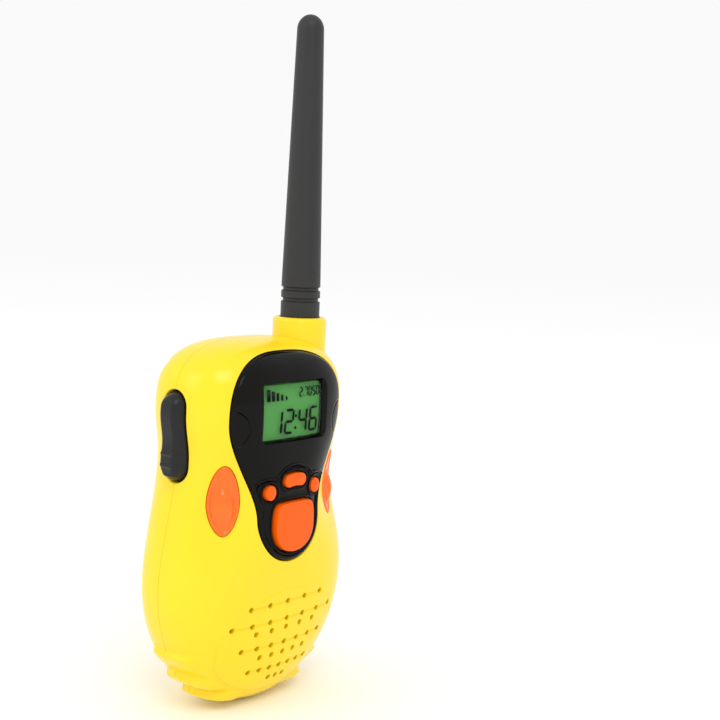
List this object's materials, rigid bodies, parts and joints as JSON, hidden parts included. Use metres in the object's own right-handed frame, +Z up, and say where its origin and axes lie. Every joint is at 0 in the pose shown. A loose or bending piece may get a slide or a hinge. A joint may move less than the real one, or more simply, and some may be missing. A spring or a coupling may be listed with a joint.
{
  "type": "toy walkie talkie",
  "caption": "Toy two-way radio with a waisted two-piece casing, keyhole front plate, push keys, side talk lever, belt clip and bendable antenna.",
  "frame": {"origin": "centre of the small flat under the chin, on the plane where the front and back shells part", "axes": "+X to the viewer's right when the face is seen from the front, +Y to the back (the display faces -Y), +Z up along the antenna"},
  "size_m": [0.071, 0.0483, 0.2123],
  "materials": {
    "yellow_abs": "glossy moulded ABS with a faint moulded grain",
    "black_gloss": "high-gloss black ABS with engraved lines",
    "orange_keys": "glossy opaque ABS",
    "orange_lens": "translucent polished lens plastic",
    "black_satin": "semi-gloss moulded plastic",
    "black_rubber": "satin soft rubber sleeve",
    "clear_window": "clear polished window",
    "display_green": "printed card with dark digit segments",
    "grey_rubber": "matt silicone rubber",
    "circuit_laminate": "solder-masked laminate",
    "steel": "plated steel",
    "copper": "lacquered copper wire",
    "black_component": "moulded black plastic",
    "paper_cone": "pressed black paper",
    "blue_sleeve": "printed shrink sleeve",
    "led_red": "clear tinted resin",
    "wire_red": "PVC insulation",
    "wire_black": "PVC insulation"
  },
  "bodies": {
    "casing": {"front_shell": "yellow_abs", "back_shell": "yellow_abs", "antenna_collar": "yellow_abs", "faceplate": "black_gloss", "belt_clip_base": "black_satin", "antenna_base": "black_rubber", "display_window": "clear_window", "display_card": "display_green", "keypad_mat": "grey_rubber", "circuit_board": "circuit_laminate", "talk_lever_pin": "steel", "power_switch_body": "steel", "crystal": "steel", "speaker_frame": "steel", "belt_clip_screw": "steel", "shell_screw_1": "steel", "shell_screw_2": "steel", "shell_screw_3": "steel", "shell_screw_4": "steel", "shell_screw_5": "steel", "shell_screw_6": "steel", "board_screw_1": "steel", "board_screw_2": "steel", "antenna_core": "copper", "audio_transformer": "copper", "tuning_coil": "copper", "talk_switch": "black_component", "transistor_1": "black_component", "transistor_2": "black_component", "battery_snap": "black_component", "speaker_magnet": "black_component", "speaker_cone": "paper_cone", "capacitor_1": "blue_sleeve", "capacitor_2": "blue_sleeve", "battery": "blue_sleeve", "side_led_left": "led_red", "side_led_right": "led_red", "antenna_lead": "wire_red", "speaker_lead_a": "wire_red", "battery_lead_red": "wire_red", "speaker_lead_b": "wire_black", "battery_lead_black": "wire_black"},
    "talk_lever": {"talk_lever": "black_satin"},
    "call_button": {"call_button": "orange_keys"},
    "key_left": {"key_left": "orange_keys"},
    "key_middle": {"key_middle": "orange_keys"},
    "key_right": {"key_right": "orange_keys"},
    "side_button_left": {"side_button_left": "orange_lens"},
    "side_button_right": {"side_button_right": "orange_lens"},
    "antenna_whip": {"antenna_whip": "black_rubber"},
    "power_slider": {"power_slider": "black_satin"},
    "battery_door": {"battery_door": "yellow_abs", "battery_door_screw": "steel"},
    "belt_clip_tongue": {"belt_clip_tongue": "black_satin"}
  },
  "joints": [
    {"name": "talk_press", "type": "hinge", "parent": "casing", "child": "talk_lever", "pos_m": [-0.0266, 0, 0.096], "axis": [0, -1, 0], "range_deg": [0, 4], "stiffness_Nm_per_rad": 0.3, "springref_deg": -2.86},
    {"name": "call_button_press", "type": "slide", "parent": "casing", "child": "call_button", "axis": [0, 1, 0], "range_m": [0, 0.0012], "stiffness_N_per_m": 300, "springref_m": -0.001},
    {"name": "key_left_press", "type": "slide", "parent": "casing", "child": "key_left", "axis": [0, 1, 0], "range_m": [0, 0.0008], "stiffness_N_per_m": 300, "springref_m": -0.001},
    {"name": "key_middle_press", "type": "slide", "parent": "casing", "child": "key_middle", "axis": [0, 1, 0], "range_m": [0, 0.0008], "stiffness_N_per_m": 300, "springref_m": -0.001},
    {"name": "key_right_press", "type": "slide", "parent": "casing", "child": "key_right", "axis": [0, 1, 0], "range_m": [0, 0.0008], "stiffness_N_per_m": 300, "springref_m": -0.001},
    {"name": "side_button_left_press", "type": "slide", "parent": "casing", "child": "side_button_left", "axis": [0.5446, 0.8387, 0], "range_m": [0, 0.0008], "stiffness_N_per_m": 300, "springref_m": -0.001},
    {"name": "side_button_right_press", "type": "slide", "parent": "casing", "child": "side_button_right", "axis": [-0.5446, 0.8387, 0], "range_m": [0, 0.0008], "stiffness_N_per_m": 300, "springref_m": -0.001},
    {"name": "antenna_flex", "type": "hinge", "parent": "casing", "child": "antenna_whip", "pos_m": [0.021, 0, 0.1257], "axis": [0, 1, 0], "range_deg": [-15, 15], "stiffness_Nm_per_rad": 0.4},
    {"name": "power_slide", "type": "slide", "parent": "casing", "child": "power_slider", "axis": [0, 0, -1], "range_m": [0, 0.0046]},
    {"name": "battery_door_lift", "type": "slide", "parent": "casing", "child": "battery_door", "axis": [0, 1, 0], "range_m": [0, 0.03]},
    {"name": "clip_flex", "type": "hinge", "parent": "casing", "child": "belt_clip_tongue", "pos_m": [0, 0.0253, 0.0966], "axis": [1, 0, 0], "range_deg": [0, 6], "stiffness_Nm_per_rad": 0.5, "springref_deg": -1.72}
  ]
}
